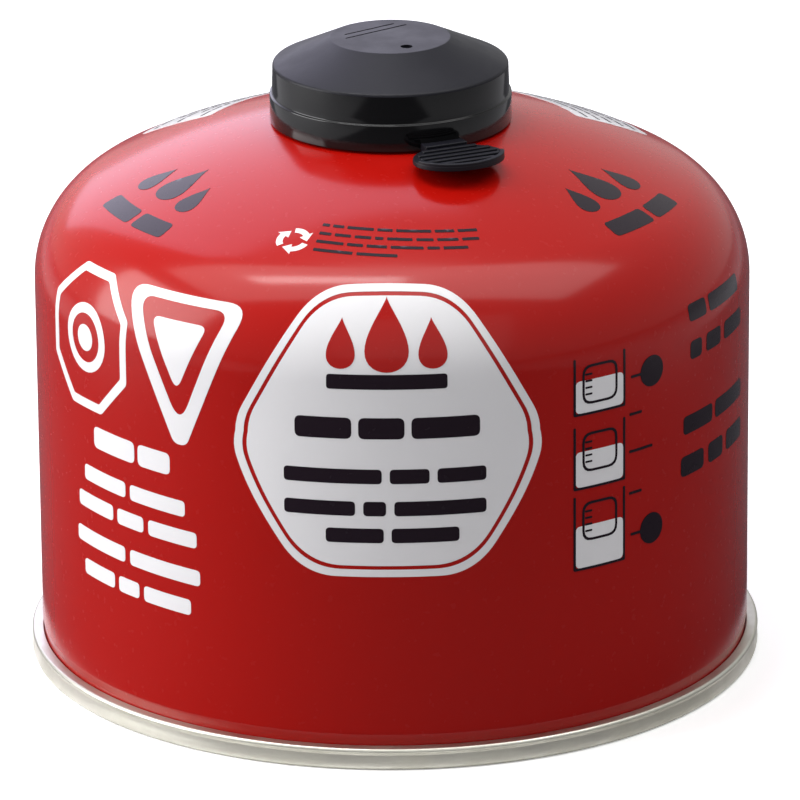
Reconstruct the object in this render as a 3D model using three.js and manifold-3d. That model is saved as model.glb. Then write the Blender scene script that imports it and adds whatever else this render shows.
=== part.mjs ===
// Fuel canister: a sealed steel can with a screw valve on its dome, under a push-on plastic cap.
// Millimetres, +Z up, origin at the middle of the base, where the seam ring stands.
// The front of the can faces -Y.

import * as THREE from 'three';
import * as BufferGeometryUtils from 'three/addons/utils/BufferGeometryUtils.js';
import Module from 'manifold-3d';

const wasm = await Module();
wasm.setup();

// Driving sizes of the can
const wallRadius = 53.35;
const wallTop = 58.5;
const shoulderRadius = 16.4;
const domeRadius = 100;
const seamReach = 1.65;
const seamHeight = 3.3;
const seamLip = 0.65;
const seamBead = 0.45;
const seamLean = 0.16;
const neckingFoot = 0.5;
const neckingTop = 1.7;
const rimThickness = 0.35;
const rimDepth = 1.9;
const rimInset = 0.2;
const chuckThickness = 0.7;
const panelThickness = 0.5;
const panelEdgeHeight = 4.6;
const panelRise = 4.4;
const panelCorner = 1.3;
const panelCornerTurn = 60;

// Mouth of the can and the valve cup crimped over it
const mouthRadius = 12.8;
const beadRadius = 1.3;
const beadLift = 1.2;
const cupSheet = 0.45;
const cupCurlEnd = -15;
const cupTroughDepth = 4.8;
const bossRadius = 5.55;
const bossBore = 4.45;
const bossHeight = 4.9;
const bossChamfer = 0.45;
const bossPlate = 0.7;
const bossHole = 2.2;

// Pieces of the valve
const cupGasketThickness = 0.45;
const cupGasketSpread = 62;
const stemGasketThickness = 1.2;
const stemRadius = 1.6;
const stemBore = 0.65;
const stemRecess = 0.9;
const stemFlangeRadius = 2.7;
const stemFlangeHeight = 1.1;
const stemSpigotRadius = 1.3;
const stemSpigotLength = 1.6;
const housingWall = 1.05;
const housingLength = 14;
const housingFloor = 1.2;
const housingInlet = 0.8;
const springWire = 0.24;
const springTurns = 5;

// Cap
const capWall = 1.2;
const capSkirtHeight = 4.1;
const capStep = 0.36;
const capStepLean = 0.14;
const capStepRound = 0.2;
const capShoulderHeight = 8.75;
const capTaper = 0.1;
const capFillet = 0.5;
const capTopRadius = 8.9;
const capTopRound = 0.25;
const capHeight = 12.45;
const capHoleRadius = 0.9;
const capHoleX = 2.4;
const capHoleY = -5.3;
const snapBeadHeight = 0.5;
const snapBeadLand = 0.15;
const grooveWidth = 0.34;
const grooveDepth = 0.3;
const grooveLengths = [11.4, 9.2];
const grooveOffsets = [3.4, 5];
const grooveTurn = 128;

// Pull tab moulded on the cap's skirt
const tabTurn = 24.5;
const tabHalfWidth = 6.95;
const tabHalfLength = 5.3;
const tabStandOff = 0.45;
const tabThickness = 0.75;
const tabRimWidth = 0.75;
const tabRimHeight = 0.4;
const tabRibCount = 5;
const tabRibPitch = 1.6;
const tabRibWidth = 0.75;
const tabRibHeight = 0.35;
const tabNeckWidth = 6.6;
const tabNeckReach = 1.2;
const tabNeckHeight = 1.35;

// Clearances between pieces
const seatGap = 0.1;
const slideGap = 0.06;
const capGap = 0.12;
const cupGap = 0.25;
const curlClearance = 0.25;

// Fineness of the turned pieces
const canSegments = 60;
const panelSteps = 4;
const capSegments = 60;
const cupSegments = 36;
const valveSegments = 24;
const springStepsPerTurn = 11;

// Finishes
const lacquer = new THREE.MeshStandardMaterial({ color: 0xb8141c, roughness: 0.22, metalness: 0 });
const tinplate = new THREE.MeshStandardMaterial({ color: 0xbdb8ac, roughness: 0.38, metalness: 0.9 });
const capPlastic = new THREE.MeshStandardMaterial({ color: 0x16161a, roughness: 0.35, metalness: 0 });
const valvePlastic = new THREE.MeshStandardMaterial({ color: 0xe6e3da, roughness: 0.5, metalness: 0 });
const sealRubber = new THREE.MeshStandardMaterial({ color: 0x1d1d1d, roughness: 0.8, metalness: 0 });
const springSteel = new THREE.MeshStandardMaterial({ color: 0xaaaaaa, roughness: 0.3, metalness: 1 });

// Points along an arc in the (radius, height) plane, angles in degrees
function arc(centreR, centreZ, radius, from, to, steps) {
  const points = [];
  for (let i = 0; i <= steps; i += 1) {
    const angle = THREE.MathUtils.degToRad(from + ((to - from) * i) / steps);
    points.push([centreR + radius * Math.cos(angle), centreZ + radius * Math.sin(angle)]);
  }
  return points;
}

// A body of revolution about Z from a counter-clockwise (radius, height) outline
function turned(outline, segments) {
  const points = outline.map(([r, z]) => new THREE.Vector2(r, z));
  const onAxis = outline[0][0] === 0;
  if (!onAxis) points.push(points[0].clone());
  const geometry = new THREE.LatheGeometry(points, segments);
  geometry.rotateX(Math.PI / 2);
  return geometry;
}

// Booleans on closed meshes
function welded(geometry) {
  const bare = geometry.clone();
  bare.deleteAttribute('normal');
  bare.deleteAttribute('uv');
  return BufferGeometryUtils.mergeVertices(bare, 1e-5);
}

function toSolid(geometry) {
  const closed = welded(geometry);
  const positions = closed.attributes.position.array;
  const index = closed.index.array;
  const triangles = [];
  for (let i = 0; i < index.length; i += 3) {
    const [a, b, c] = [index[i], index[i + 1], index[i + 2]];
    if (a !== b && b !== c && c !== a) triangles.push(a, b, c);
  }
  return new wasm.Manifold(new wasm.Mesh({
    numProp: 3,
    vertProperties: new Float32Array(positions),
    triVerts: new Uint32Array(triangles),
  }));
}

function toGeometry(solid) {
  const mesh = solid.getMesh();
  const geometry = new THREE.BufferGeometry();
  geometry.setAttribute('position', new THREE.BufferAttribute(new Float32Array(mesh.vertProperties), 3));
  geometry.setIndex(Array.from(mesh.triVerts));
  geometry.computeVertexNormals();
  return geometry;
}

// Heights that several pieces share

const seamRadius = wallRadius + seamReach;

// The dome is a sphere that meets the shoulder arc with a common tangent
const shoulderCentreR = wallRadius - shoulderRadius;
const domeCentreZ = wallTop - Math.sqrt((domeRadius - shoulderRadius) ** 2 - shoulderCentreR ** 2);
const domeHeight = (r) => domeCentreZ + Math.sqrt(domeRadius ** 2 - r ** 2);
const domeStart = THREE.MathUtils.radToDeg(Math.acos(shoulderCentreR / (domeRadius - shoulderRadius)));

// The rolled bead round the mouth
const beadCentreR = mouthRadius + beadRadius;
const neckRadius = mouthRadius + 2 * beadRadius;
const beadCentreZ = domeHeight(neckRadius) + beadLift;

// The valve cup's curl lies over the bead with its gasket between them
const curlInner = beadRadius + 2 * seatGap + cupGasketThickness;
const curlOuter = curlInner + cupSheet;
const curlRadius = beadCentreR + curlOuter;
const curlTop = beadCentreZ + curlOuter;
const troughRadius = beadCentreR - curlOuter;
const troughFloor = curlTop - cupTroughDepth;
const bossTop = curlTop + bossHeight;
const stemGasketTop = bossTop - bossPlate - seatGap;
const stemGasketFoot = stemGasketTop - stemGasketThickness;
const housingTop = stemGasketFoot - slideGap;
const housingFoot = housingTop - housingLength;
const housingRadius = bossBore - seatGap;
const housingBore = housingRadius - housingWall;

// The bottom end's panel bulges up into the can
const slotOuter = wallRadius - rimInset + seatGap;
const slotInner = wallRadius - rimInset - rimThickness - seatGap;
const slotFloor = seamHeight - rimDepth;
const chuckRadius = slotInner - chuckThickness;
const panelEdge = chuckRadius - panelCorner;
const panelSphere = (panelEdge ** 2 + panelRise ** 2) / (2 * panelRise);
const panelCentreZ = panelEdgeHeight + panelRise - panelSphere;
const panelSlope = THREE.MathUtils.radToDeg(Math.acos(panelEdge / panelSphere));

// Outline along the panel from the axis outwards, offset from its underside
function panelOutline(offset, steps) {
  const outline = arc(0, panelCentreZ, panelSphere + offset, 90, panelSlope, steps);
  outline[0][0] = 0;
  return outline;
}

// Drawn body: wall, shoulder, dome and the bead round the mouth, in one piece.
// The can is sealed, so it is solid inside, with a pocket for the valve.
function makeCanShell() {
  const rimOuter = wallRadius - rimInset;
  const rimInner = rimOuter - rimThickness;
  const rimFoot = slotFloor + seatGap;
  const panelTop = panelThickness + seatGap;
  const pocketRadius = housingRadius + cupGap;
  const pocketFloor = housingFoot - cupGap;
  const cupFloor = troughFloor - cupSheet - cupGap;
  const outline = [
    ...panelOutline(panelTop, panelSteps),
    [rimInner, panelEdgeHeight + panelTop],
    [rimInner, rimFoot],
    [rimOuter, rimFoot],
    [rimOuter, seamHeight + neckingFoot],
    [wallRadius, seamHeight + neckingTop],
    ...arc(shoulderCentreR, wallTop, shoulderRadius, 0, domeStart, 6),
  ];
  const neckAngle = THREE.MathUtils.radToDeg(Math.acos(neckRadius / domeRadius));
  outline.push(...arc(0, domeCentreZ, domeRadius, domeStart, neckAngle, 7).slice(1));
  outline.push(...arc(beadCentreR, beadCentreZ, beadRadius, 0, 180, 6));
  outline.push([mouthRadius, cupFloor]);
  outline.push([pocketRadius, cupFloor]);
  outline.push([pocketRadius, pocketFloor]);
  outline.push([0, pocketFloor]);
  return turned(outline, canSegments);
}

// Bare tinplate end: panel, chuck wall and the double seam that the can stands on
function makeBottomEnd() {
  const footInner = chuckRadius + seamLip;
  const footOuter = seamRadius - seamLip;
  const beadTop = seamHeight - seamBead;
  const outline = [
    ...panelOutline(0, panelSteps),
    ...arc(panelEdge, panelEdgeHeight - panelCorner, panelCorner, panelCornerTurn, 0, 2),
    [chuckRadius, seamLip],
    ...arc(footInner, seamLip, seamLip, 225, 270, 1),
    ...arc(footOuter, seamLip, seamLip, 270, 360, 3),
    [seamRadius - seamLean, beadTop - seamLip],
    ...arc(seamRadius - seamBead, beadTop, seamBead, 0, 90, 3),
    [slotOuter, seamHeight],
    [slotOuter, slotFloor],
    [slotInner, slotFloor],
    [slotInner, panelEdgeHeight + panelThickness - panelCorner],
    ...panelOutline(panelThickness, panelSteps).reverse(),
  ];
  return turned(outline, canSegments);
}

// Pressed cup with the threaded boss in its middle, curled over the mouth of the can
function makeValveCup() {
  const corner = cupSheet;
  const outline = [
    ...arc(beadCentreR, beadCentreZ, curlOuter, cupCurlEnd, 180, 7),
    [troughRadius, troughFloor + corner],
    [troughRadius - corner, troughFloor],
    [bossRadius + corner, troughFloor],
    [bossRadius, troughFloor + corner],
    [bossRadius, bossTop - bossChamfer],
    [bossRadius - bossChamfer, bossTop],
    [bossHole, bossTop],
    [bossHole, bossTop - bossPlate],
    [bossBore, bossTop - bossPlate],
    [bossBore, troughFloor - cupSheet],
    [troughRadius, troughFloor - cupSheet],
    [troughRadius + cupSheet, troughFloor],
    ...arc(beadCentreR, beadCentreZ, curlInner, 180, cupCurlEnd, 7),
  ];
  return turned(outline, cupSegments);
}

// Rubber ring squeezed between the curl and the bead
function makeCupGasket() {
  const inner = beadRadius + seatGap;
  const outer = inner + cupGasketThickness;
  const outline = [
    ...arc(beadCentreR, beadCentreZ, outer, 90 - cupGasketSpread, 90 + cupGasketSpread, 3),
    ...arc(beadCentreR, beadCentreZ, inner, 90 + cupGasketSpread, 90 - cupGasketSpread, 3),
  ];
  return turned(outline, cupSegments);
}

// Rubber washer under the boss plate, with the stem running through it
function makeStemGasket() {
  const inner = stemRadius + slideGap;
  const outer = housingRadius;
  return turned([
    [inner, stemGasketFoot],
    [outer, stemGasketFoot],
    [outer, stemGasketTop],
    [inner, stemGasketTop],
  ], valveSegments);
}

// Plastic cup inside the boss that holds the spring, with a gas inlet in its floor
function makeValveHousing() {
  const floorTop = housingFoot + housingFloor;
  return turned([
    [housingInlet, housingFoot],
    [housingRadius - 1, housingFoot],
    [housingRadius, housingFoot + 1],
    [housingRadius, housingTop],
    [housingBore, housingTop],
    [housingBore, floorTop],
    [housingInlet, floorTop],
  ], valveSegments);
}

// Stem: tube through the gasket, sealing flange under it and a spigot for the spring
const stemTop = bossTop - stemRecess;
const flangeTop = stemGasketFoot - slideGap;
const flangeFoot = flangeTop - stemFlangeHeight;
function makeValveStem() {
  return turned([
    [0, flangeFoot - stemSpigotLength],
    [stemSpigotRadius - 0.3, flangeFoot - stemSpigotLength],
    [stemSpigotRadius, flangeFoot - stemSpigotLength + 0.3],
    [stemSpigotRadius, flangeFoot],
    [stemFlangeRadius, flangeFoot],
    [stemFlangeRadius, flangeTop],
    [stemRadius, flangeTop],
    [stemRadius, stemTop],
    [stemBore, stemTop],
    [stemBore, flangeTop],
    [0, flangeTop],
  ], valveSegments);
}

// Coil spring between the flange and the floor of the housing
class SpringCurve extends THREE.Curve {
  constructor(radius, foot, top, turns) {
    super();
    Object.assign(this, { radius, foot, top, turns });
  }

  getPoint(t, target = new THREE.Vector3()) {
    const angle = t * this.turns * 2 * Math.PI;
    const height = this.foot + (this.top - this.foot) * t;
    return target.set(this.radius * Math.cos(angle), this.radius * Math.sin(angle), height);
  }
}

function makeValveSpring() {
  const foot = housingFoot + housingFloor + springWire + slideGap;
  const top = flangeFoot - springWire - slideGap;
  const radius = (stemSpigotRadius + housingBore) / 2;
  const section = new THREE.Shape();
  const sides = 6;
  for (let i = 0; i < sides; i += 1) {
    const angle = (i / sides) * 2 * Math.PI;
    const [x, y] = [springWire * Math.cos(angle), springWire * Math.sin(angle)];
    if (i === 0) section.moveTo(x, y);
    else section.lineTo(x, y);
  }
  section.closePath();
  return new THREE.ExtrudeGeometry(section, {
    steps: Math.round(springTurns * springStepsPerTurn),
    extrudePath: new SpringCurve(radius, foot, top, springTurns),
  });
}

// Cap: heights are measured up from its rim, which stands on the dome
const capBore = curlRadius + curlClearance;
const capSkirtRadius = capBore + capWall;
const capFoot = domeHeight(capBore) + capGap;
const capTop = capFoot + capHeight;
const tabFoot = domeHeight(capSkirtRadius) + seatGap + capGap;
const tabTop = tabFoot + tabThickness;

function capWallOutline() {
  const upperFoot = capSkirtRadius - capStep;
  const upperTop = upperFoot - capTaper;
  const shoulder = capFoot + capShoulderHeight;
  const skirtTop = capFoot + capSkirtHeight;
  const snapFoot = capFoot + snapBeadHeight / 2;
  const snapReach = curlRadius + slideGap;
  const coneDrop = Math.atan2(capHeight - capShoulderHeight, upperTop - capTopRadius);
  const coneAngle = 90 - THREE.MathUtils.radToDeg(coneDrop);
  const inside = capWall / Math.cos(coneDrop);
  const insideRadius = upperTop - capWall;
  const insideShoulder = shoulder - inside;
  return [
    [capBore, capFoot],
    [capSkirtRadius - capStepRound, capFoot],
    [capSkirtRadius, capFoot + capStepRound],
    [capSkirtRadius, skirtTop - capStepRound],
    [capSkirtRadius - capStepLean, skirtTop],
    [upperFoot, skirtTop + slideGap],
    ...arc(upperTop - capFillet, shoulder - capFillet, capFillet, 0, coneAngle, 4),
    [capTopRadius + capTopRound, capTop - capTopRound * Math.sin(coneDrop)],
    [capTopRadius - capTopRound, capTop],
    [0, capTop],
    [0, capTop - capWall],
    [capTopRadius - capTopRound, capTop - capWall],
    [insideRadius - capTopRound, insideShoulder],
    [insideRadius, insideShoulder - capFillet],
    [insideRadius, skirtTop + capFillet],
    [capBore, skirtTop - capStepRound],
    [capBore, snapFoot + snapBeadHeight],
    [snapReach, snapFoot + 2 * snapBeadLand],
    [snapReach, snapFoot + snapBeadLand],
    [capBore, snapFoot - snapBeadLand],
  ];
}

// The oval paddle, its raised front rim and its grip ribs, drawn with +X pointing away from the cap
function ovalShape(halfLength, halfWidth) {
  const shape = new THREE.Shape();
  shape.absellipse(0, 0, halfLength, halfWidth, 0, 2 * Math.PI, false, 0);
  return shape;
}

function extruded(shape, foot, height, curveSegments) {
  const geometry = new THREE.ExtrudeGeometry(shape, { depth: height, bevelEnabled: false, curveSegments });
  geometry.translate(0, 0, foot);
  return geometry;
}

function boxBetween(x0, x1, y0, y1, z0, z1) {
  const geometry = new THREE.BoxGeometry(x1 - x0, y1 - y0, z1 - z0);
  geometry.translate((x0 + x1) / 2, (y0 + y1) / 2, (z0 + z1) / 2);
  return geometry;
}

function makeTabSolid() {
  const centre = capSkirtRadius + tabStandOff + tabHalfLength;
  const ovalSteps = 28;
  const plate = toSolid(extruded(ovalShape(tabHalfLength, tabHalfWidth), tabFoot, tabThickness, ovalSteps));
  const rimTop = tabRimHeight + tabThickness / 2;
  const ring = ovalShape(tabHalfLength, tabHalfWidth);
  const hole = new THREE.Path();
  const [holeLength, holeWidth] = [tabHalfLength - tabRimWidth, tabHalfWidth - tabRimWidth];
  hole.absellipse(0, 0, holeLength, holeWidth, 0, 2 * Math.PI, true, 0);
  ring.holes.push(hole);
  const rim = toSolid(extruded(ring, tabTop - tabThickness / 2, rimTop, ovalSteps));
  const rimBackHeight = tabTop + 2 * tabRimHeight;
  const rimBack = toSolid(boxBetween(-centre, tabRimWidth, -centre, centre, tabTop, rimBackHeight));
  const field = toSolid(extruded(ovalShape(holeLength + 0.1, holeWidth + 0.1), tabFoot + 0.2, 3, ovalSteps));
  let ribs = null;
  for (let i = 0; i < tabRibCount; i += 1) {
    const x = (i - (tabRibCount - 1) / 2) * tabRibPitch;
    const section = new THREE.Shape();
    section.moveTo(-tabRibWidth / 2, -0.2);
    section.lineTo(tabRibWidth / 2, -0.2);
    section.lineTo(tabRibWidth / 2 - 0.1, tabRibHeight * 0.6);
    section.lineTo(0, tabRibHeight);
    section.lineTo(-tabRibWidth / 2 + 0.1, tabRibHeight * 0.6);
    section.closePath();
    const bar = new THREE.ExtrudeGeometry(section, { depth: 2 * tabHalfWidth, bevelEnabled: false });
    bar.rotateX(Math.PI / 2);
    bar.translate(x, tabHalfWidth, tabTop);
    const rib = toSolid(bar);
    ribs = ribs ? ribs.add(rib) : rib;
  }
  const paddle = plate.add(rim.subtract(rimBack)).add(ribs.intersect(field)).translate([centre, 0, 0]);
  const neckRoot = capSkirtRadius - capWall / 2;
  const neckEnd = capSkirtRadius + tabStandOff + tabNeckReach;
  const neckTop = tabFoot + tabNeckHeight;
  const neckHalf = tabNeckWidth / 2;
  const neck = toSolid(boxBetween(neckRoot, neckEnd, -neckHalf, neckHalf, tabFoot, neckTop));
  return paddle.add(neck).rotate([0, 0, tabTurn - 90]);
}

function makeCap() {
  const capBody = toSolid(turned(capWallOutline(), capSegments));
  const holeCutter = new THREE.CylinderGeometry(capHoleRadius, capHoleRadius, 4 * capWall, 16);
  holeCutter.rotateX(Math.PI / 2);
  holeCutter.translate(capHoleX, capHoleY, capTop);
  let cap = capBody.add(makeTabSolid()).subtract(toSolid(holeCutter));
  grooveOffsets.forEach((offset, i) => {
    const half = grooveLengths[i] / 2;
    const [near, far] = [offset - grooveWidth / 2, offset + grooveWidth / 2];
    const groove = boxBetween(near, far, -half, half, capTop - grooveDepth, capTop + 1);
    cap = cap.subtract(toSolid(groove).rotate([0, 0, grooveTurn]));
  });
  return toGeometry(cap);
}

function piece(name, geometry, material) {
  const mesh = new THREE.Mesh(geometry, material);
  mesh.name = name;
  return mesh;
}

const canister = new THREE.Group();
canister.add(piece('can_shell', makeCanShell(), lacquer));
canister.add(piece('bottom_end', makeBottomEnd(), tinplate));
canister.add(piece('valve_cup', makeValveCup(), tinplate));
canister.add(piece('cup_gasket', makeCupGasket(), sealRubber));
canister.add(piece('stem_gasket', makeStemGasket(), sealRubber));
canister.add(piece('valve_housing', makeValveHousing(), valvePlastic));
canister.add(piece('valve_spring', makeValveSpring(), springSteel));
canister.add(piece('valve_stem', makeValveStem(), valvePlastic));
canister.add(piece('cap', makeCap(), capPlastic));

export default canister;
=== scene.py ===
from math import acos, atan2, ceil, cos, degrees, dist, hypot, pi, radians, sin, sqrt, tan

import bmesh
import bpy
from mathutils import Matrix, Vector
from mathutils.geometry import delaunay_2d_cdt


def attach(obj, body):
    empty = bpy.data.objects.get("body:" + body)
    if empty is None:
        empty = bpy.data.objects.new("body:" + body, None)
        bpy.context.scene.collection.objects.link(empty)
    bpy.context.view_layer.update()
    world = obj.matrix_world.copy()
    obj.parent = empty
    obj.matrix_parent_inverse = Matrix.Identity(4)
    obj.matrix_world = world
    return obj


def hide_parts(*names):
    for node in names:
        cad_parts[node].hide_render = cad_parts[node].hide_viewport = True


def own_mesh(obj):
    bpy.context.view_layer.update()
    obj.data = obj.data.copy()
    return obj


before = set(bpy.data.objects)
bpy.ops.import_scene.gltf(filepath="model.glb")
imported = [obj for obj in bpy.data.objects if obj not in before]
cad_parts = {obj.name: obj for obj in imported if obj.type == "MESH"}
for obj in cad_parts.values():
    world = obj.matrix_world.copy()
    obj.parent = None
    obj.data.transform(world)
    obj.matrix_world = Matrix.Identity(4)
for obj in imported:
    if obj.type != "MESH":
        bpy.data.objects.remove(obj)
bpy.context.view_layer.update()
scene = bpy.context.scene
mm = 0.001
turn = 2 * pi

# the can's own sizes in millimetres, the same as in the part's source
can = {
    "wallRadius": 53.35,
    "wallTop": 58.5,
    "shoulderRadius": 16.4,
    "domeRadius": 100.0,
    "mouthRadius": 12.8,
    "beadRadius": 1.3,
    "beadLift": 1.2,
    "seamHeight": 3.3,
    "neckFoot": 3.8,
    "neckTop": 5.0,
    "neckIn": 0.2,
}
shoulderCentre = can["wallRadius"] - can["shoulderRadius"]
domeArm = can["domeRadius"] - can["shoulderRadius"]
domeCentreZ = can["wallTop"] - sqrt(domeArm ** 2 - shoulderCentre ** 2)
shoulderTurn = acos(shoulderCentre / domeArm)


def domeHeight(r):
    return domeCentreZ + sqrt(can["domeRadius"] ** 2 - r ** 2)


beadCentreR = can["mouthRadius"] + can["beadRadius"]
neckRadius = can["mouthRadius"] + 2 * can["beadRadius"]
beadCentreZ = domeHeight(neckRadius) + can["beadLift"]


# small mesh helpers

def roundAxis(r, a, z):
    # a point at radius r and height z, turned by a from the front towards the right
    return (r * mm * sin(a), -r * mm * cos(a), z * mm)


def arcPoints(centreR, centreZ, radius, start, end, steps):
    points = []
    for i in range(steps + 1):
        a = radians(start + (end - start) * i / steps)
        points.append((centreR + radius * cos(a), centreZ + radius * sin(a)))
    return points


def softened(points, radius, steps=4, closed=True):
    # rounds every corner of an outline by the same small radius
    count = len(points)
    result = []
    for i, point in enumerate(points):
        here = Vector(point)
        if not closed and i in (0, count - 1):
            result.append(tuple(here))
            continue
        back = Vector(points[i - 1]) - here
        ahead = Vector(points[(i + 1) % count]) - here
        bend = back.angle(ahead)
        if bend > radians(172):
            result.append(tuple(here))
            continue
        reach = min(radius / tan(bend / 2), 0.45 * back.length, 0.45 * ahead.length)
        startPoint = here + back.normalized() * reach
        endPoint = here + ahead.normalized() * reach
        for j in range(steps + 1):
            t = j / steps
            mixed = startPoint * (1 - t) ** 2 + here * 2 * t * (1 - t) + endPoint * t ** 2
            result.append(tuple(mixed))
    return result


def meshObject(name, mesh, smoothAngle=35):
    bmesh.ops.remove_doubles(mesh, verts=mesh.verts, dist=1e-7)
    bmesh.ops.recalc_face_normals(mesh, faces=mesh.faces)
    data = bpy.data.meshes.new(name)
    mesh.to_mesh(data)
    mesh.free()
    data.polygons.foreach_set("use_smooth", [True] * len(data.polygons))
    data.set_sharp_from_angle(angle=radians(smoothAngle))
    piece = bpy.data.objects.new(name, data)
    scene.collection.objects.link(piece)
    return piece


def turnedPiece(name, outline, segments, smoothAngle=35):
    # a body of revolution; an outline that starts on the axis is closed over the axis
    mesh = bmesh.new()
    rings = []
    for r, z in outline:
        if r < 1e-6:
            rings.append([mesh.verts.new((0, 0, z * mm))])
            continue
        ring = []
        for i in range(segments):
            a = turn * i / segments
            ring.append(mesh.verts.new(roundAxis(r, a, z)))
        rings.append(ring)
    pairs = list(zip(rings, rings[1:]))
    if len(rings[0]) > 1:
        pairs.append((rings[-1], rings[0]))
    for lower, upper in pairs:
        for i in range(segments):
            j = (i + 1) % segments
            corners = [lower[i % len(lower)], lower[j % len(lower)]]
            corners += [upper[j % len(upper)], upper[i % len(upper)]]
            unique = list(dict.fromkeys(corners))
            if len(unique) > 2:
                mesh.faces.new(unique)
    return meshObject(name, mesh, smoothAngle)


def prism(mesh, loop, low, high, place):
    # a closed straight-sided block from one flat loop; place turns (x, y, z) into a point
    foot = [mesh.verts.new(place(x, y, low)) for x, y in loop]
    top = [mesh.verts.new(place(x, y, high)) for x, y in loop]
    mesh.faces.new(foot)
    mesh.faces.new(top)
    for i in range(len(loop)):
        j = (i + 1) % len(loop)
        mesh.faces.new([foot[i], foot[j], top[j], top[i]])


def skinRings(mesh, rings):
    # joins the rings of a swept section and closes both its ends
    count = len(rings[0])
    for lower, upper in zip(rings, rings[1:]):
        for k in range(count):
            n = (k + 1) % count
            mesh.faces.new([lower[k], lower[n], upper[n], upper[k]])
    mesh.faces.new(rings[0])
    mesh.faces.new(rings[-1])


def bevelEdges(piece, width, segments=2, angle=40):
    bevel = piece.modifiers.new("edge", "BEVEL")
    bevel.width = width * mm
    bevel.segments = segments
    bevel.limit_method = "ANGLE"
    bevel.angle_limit = radians(angle)
    bevel.harden_normals = False


# camera, at the photo's place and height: metres and degrees, lens and sensor in millimetres
cameraPlace = {
    "distance": 1.040,
    "height": 0.39956,
    "pitch": 19.181,
    "yaw": 0.0565,
    "roll": -0.4588,
    "lens": 329.71,
    "sensor": 36,
    "farLimit": 20,
}


def makeCamera():
    data = bpy.data.cameras.new("camera")
    data.lens = cameraPlace["lens"]
    data.sensor_width = cameraPlace["sensor"]
    data.clip_end = cameraPlace["farLimit"]
    camera = bpy.data.objects.new("camera", data)
    scene.collection.objects.link(camera)
    aim = Matrix.Rotation(-radians(cameraPlace["yaw"]), 4, "Z")
    tip = Matrix.Rotation(radians(90 - cameraPlace["pitch"]), 4, "X")
    roll = Matrix.Rotation(radians(cameraPlace["roll"]), 4, "Z")
    stand = Matrix.Translation((0, -cameraPlace["distance"], cameraPlace["height"]))
    camera.matrix_world = stand @ aim @ tip @ roll
    scene.camera = camera


makeCamera()
print("camera set")


# finishes

def newFinish(name):
    material = bpy.data.materials.new(name)
    material.use_nodes = True
    nodes = material.node_tree.nodes
    return material, nodes, material.node_tree.links, nodes["Principled BSDF"]


def setInputs(node, values):
    for name, value in values.items():
        node.inputs[name].default_value = value


def objectNoise(nodes, links, scale, detail=2.0, roughness=0.5, stretch=(1, 1, 1)):
    where = nodes.new("ShaderNodeTexCoord")
    spread = nodes.new("ShaderNodeMapping")
    setInputs(spread, {"Scale": stretch})
    noise = nodes.new("ShaderNodeTexNoise")
    setInputs(noise, {"Scale": scale, "Detail": detail, "Roughness": roughness})
    links.new(where.outputs["Object"], spread.inputs["Vector"])
    links.new(spread.outputs["Vector"], noise.inputs["Vector"])
    return noise.outputs["Fac"]


def ranged(nodes, links, value, low, high, fromLow=0.3, fromHigh=0.7):
    span = nodes.new("ShaderNodeMapRange")
    span.interpolation_type = "SMOOTHSTEP"
    setInputs(span, {"From Min": fromLow, "From Max": fromHigh, "To Min": low, "To Max": high})
    links.new(value, span.inputs["Value"])
    return span.outputs["Result"]


def blended(nodes, links, value, first, second):
    mix = nodes.new("ShaderNodeMix")
    mix.data_type = "RGBA"
    for name, colour in (("A", first), ("B", second)):
        if isinstance(colour, tuple):
            mix.inputs[name].default_value = (*colour, 1)
        else:
            links.new(colour, mix.inputs[name])
    links.new(value, mix.inputs["Factor"])
    return mix.outputs["Result"]


def bumped(nodes, links, value, bsdf, strength, distance):
    bump = nodes.new("ShaderNodeBump")
    setInputs(bump, {"Strength": strength, "Distance": distance})
    links.new(value, bump.inputs["Height"])
    links.new(bump.outputs["Normal"], bsdf.inputs["Normal"])


lacquerLook = {
    "red": (0.34, 0.0033, 0.0014),
    "roughness": (0.262, 0.274),
    "coat": 0.55,
    "coatRoughness": 0.14,
    "coatIor": 1.4,
    "specular": 0.08,
    "peelScale": 900,
    "peelBump": 0.015,
    "peelDepth": 0.00002,
    "white": (0.72, 0.71, 0.725),
    "dark": (0.012, 0.006, 0.011),
}


def makeLacquer(name, colour):
    material, nodes, links, bsdf = newFinish(name)
    peel = objectNoise(nodes, links, lacquerLook["peelScale"], 2)
    links.new(ranged(nodes, links, peel, *lacquerLook["roughness"]), bsdf.inputs["Roughness"])
    setInputs(bsdf, {
        "Base Color": (*colour, 1),
        "Specular IOR Level": lacquerLook["specular"],
        "Coat Weight": lacquerLook["coat"],
        "Coat Roughness": lacquerLook["coatRoughness"],
        "Coat IOR": lacquerLook["coatIor"],
    })
    bumped(nodes, links, peel, bsdf, lacquerLook["peelBump"], lacquerLook["peelDepth"])
    return material


lacquerRed = makeLacquer("lacquerRed", lacquerLook["red"])
printWhite = makeLacquer("printWhite", lacquerLook["white"])
printDark = makeLacquer("printDark", lacquerLook["dark"])

tinLook = {
    "pale": (0.61, 0.60, 0.535),
    "dull": (0.52, 0.51, 0.445),
    "roughness": (0.33, 0.47),
    "cloudScale": 110,
    "grainScale": 420,
    "grainStretch": (1, 1, 9),
    "grainBump": 0.12,
    "grainDepth": 0.00004,
}


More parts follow.
